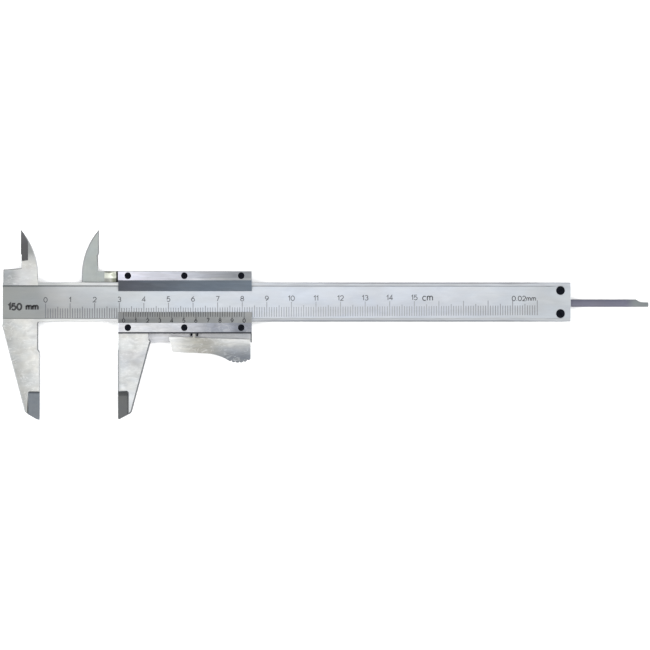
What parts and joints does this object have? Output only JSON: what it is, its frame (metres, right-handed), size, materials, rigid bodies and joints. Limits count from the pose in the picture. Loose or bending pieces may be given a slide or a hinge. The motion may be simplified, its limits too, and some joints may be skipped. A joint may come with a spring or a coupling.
{
  "type": "vernier caliper",
  "caption": "Steel vernier caliper with outside and inside jaws, a sliding vernier head, a sprung thumb lever lock and a depth rod, lying on its back with the jaws part open.",
  "frame": {"origin": "middle of the bottom of the bounding box, on the plane that the slider's back and the end stop plate lie on", "axes": "+X along the beam towards the depth rod's tip, +Y towards the inside jaws, +Z out of the scale face"},
  "size_m": [0.263, 0.0776, 0.0066],
  "materials": {
    "beam_steel": "satin chrome on the scale face, ground and lightly mottled on the jaws",
    "slider_steel": "ground and lightly mottled",
    "guide_rail_steel": "brushed flat with a darker bevel",
    "vernier_steel": "satin bevel with graduations, brushed flat",
    "lever_steel": "ground",
    "rod_steel": "dark ground steel",
    "pin_steel": "ground flush",
    "black_oxide": "black oxide, satin",
    "spring_bronze": "rolled strip",
    "graduation_ink": "matt black filled engraving"
  },
  "bodies": {
    "beam": {"beam": "beam_steel", "end_stop_plate": "pin_steel", "end_stop_screw_upper": "black_oxide", "end_stop_screw_lower": "black_oxide"},
    "slider": {"slider_body": "slider_steel", "upper_guide_rail": "guide_rail_steel", "vernier_rail": "vernier_steel", "upper_rail_screw_left": "black_oxide", "upper_rail_screw_middle": "black_oxide", "upper_rail_screw_right": "black_oxide", "vernier_rail_screw_left": "black_oxide", "vernier_rail_screw_middle": "black_oxide", "vernier_rail_screw_right": "black_oxide", "gib_strip": "spring_bronze", "gib_screw_left": "black_oxide", "gib_screw_right": "black_oxide", "depth_rod": "rod_steel", "depth_rod_rivet_left": "pin_steel", "depth_rod_rivet_right": "pin_steel", "lever_pivot_pin": "pin_steel", "lever_spring": "black_oxide"},
    "lever": {"thumb_lever": "lever_steel"}
  },
  "joints": [
    {"name": "slider_travel", "type": "slide", "parent": "beam", "child": "slider", "axis": [1, 0, 0], "range_m": [-0.03175, 0.1182]},
    {"name": "thumb_lever_pivot", "type": "hinge", "parent": "slider", "child": "lever", "pos_m": [-0.05345, -0.00129, 0.003], "axis": [0, 0, 1], "range_deg": [0, 5], "stiffness_Nm_per_rad": 0.2, "springref_deg": -20.05}
  ]
}
